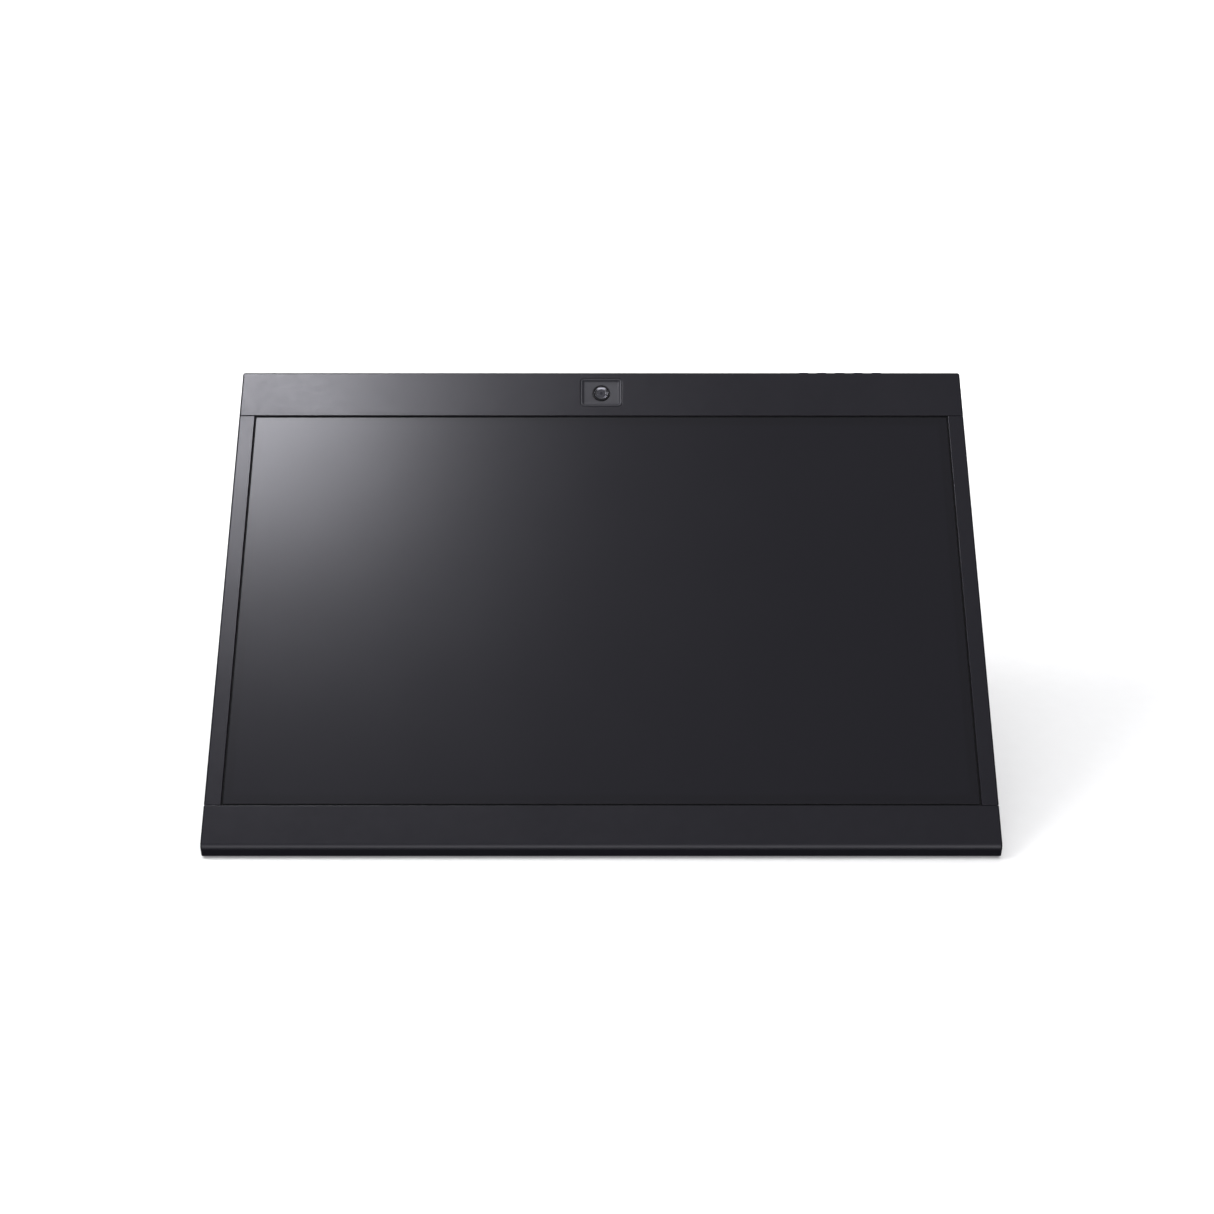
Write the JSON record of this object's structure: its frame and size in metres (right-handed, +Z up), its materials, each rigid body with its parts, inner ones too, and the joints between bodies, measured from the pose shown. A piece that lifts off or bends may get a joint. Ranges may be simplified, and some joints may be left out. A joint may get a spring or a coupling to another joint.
{
  "type": "smart display",
  "caption": "Wide desktop display that leans back on its chin and two bent rear legs, with a camera window in a tall top bar and push buttons on its top edge.",
  "frame": {"origin": "on the table, under the middle of the display's bounding box", "axes": "+X to the right as seen from the front, +Y towards the back, +Z up; the screen faces -Y and up"},
  "size_m": [0.626, 0.3108, 0.3024],
  "materials": {
    "front_frame": "satin charcoal, fine moulded grain",
    "button": "satin charcoal",
    "screen_glass": "matte anti-glare, display off",
    "lcd": "dark",
    "optical_sheet": "translucent white",
    "gasket": "foam",
    "sheet_metal": "pressed sheet",
    "plate_steel": "zinc plated",
    "heat_sink": "extruded",
    "rear_cover": "fine moulded grain",
    "leg": "satin black powder coat",
    "foot_rubber": "matte",
    "screw": "black oxide",
    "camera_tray": "smooth black",
    "camera_barrel": "satin black",
    "camera_lens": "coated, deep blue sheen",
    "circuit_board": "green solder mask",
    "flat_cable": "thin ribbon",
    "speaker": "moulded box",
    "port_shell": "plated shell"
  },
  "bodies": {
    "display": {"top_bar": "front_frame", "bottom_bar": "front_frame", "left_bar": "front_frame", "right_bar": "front_frame", "screen_glass": "screen_glass", "lcd_panel": "lcd", "lens_sheet": "optical_sheet", "diffuser_sheet": "optical_sheet", "light_guide": "optical_sheet", "screen_gasket": "gasket", "backlight_tray": "sheet_metal", "chassis_plate": "sheet_metal", "left_leg_bracket": "plate_steel", "right_leg_bracket": "plate_steel", "vesa_plate": "plate_steel", "shield_can": "plate_steel", "heat_sink": "heat_sink", "rear_cover": "rear_cover", "left_leg": "leg", "right_leg": "leg", "left_leg_foot": "foot_rubber", "right_leg_foot": "foot_rubber", "left_front_foot": "foot_rubber", "right_front_foot": "foot_rubber", "cover_screw_1": "screw", "cover_screw_2": "screw", "cover_screw_3": "screw", "cover_screw_4": "screw", "leg_screw_1": "screw", "leg_screw_2": "screw", "leg_screw_3": "screw", "leg_screw_4": "screw", "camera_tray": "camera_tray", "camera_barrel": "camera_barrel", "camera_lens": "camera_lens", "led_strip_left": "circuit_board", "led_strip_right": "circuit_board", "camera_board": "circuit_board", "button_board": "circuit_board", "main_board": "circuit_board", "power_board": "circuit_board", "timing_board": "circuit_board", "io_board": "circuit_board", "camera_cable": "flat_cable", "display_cable": "flat_cable", "button_cable": "flat_cable", "left_speaker": "speaker", "right_speaker": "speaker", "hdmi_port": "port_shell", "usb_c_port": "port_shell", "dc_jack": "port_shell"},
    "power_key": {"power_button": "button"},
    "menu_key": {"menu_button": "button"},
    "up_key": {"up_button": "button"},
    "down_key": {"down_button": "button"},
    "input_key": {"input_button": "button"}
  },
  "joints": [
    {"name": "power_press", "type": "slide", "parent": "display", "child": "power_key", "axis": [0, -0.7071, -0.7071], "range_m": [0, 0.001], "stiffness_N_per_m": 800},
    {"name": "menu_press", "type": "slide", "parent": "display", "child": "menu_key", "axis": [0, -0.7071, -0.7071], "range_m": [0, 0.001], "stiffness_N_per_m": 800},
    {"name": "up_press", "type": "slide", "parent": "display", "child": "up_key", "axis": [0, -0.7071, -0.7071], "range_m": [0, 0.001], "stiffness_N_per_m": 800},
    {"name": "down_press", "type": "slide", "parent": "display", "child": "down_key", "axis": [0, -0.7071, -0.7071], "range_m": [0, 0.001], "stiffness_N_per_m": 800},
    {"name": "input_press", "type": "slide", "parent": "display", "child": "input_key", "axis": [0, -0.7071, -0.7071], "range_m": [0, 0.001], "stiffness_N_per_m": 800}
  ]
}
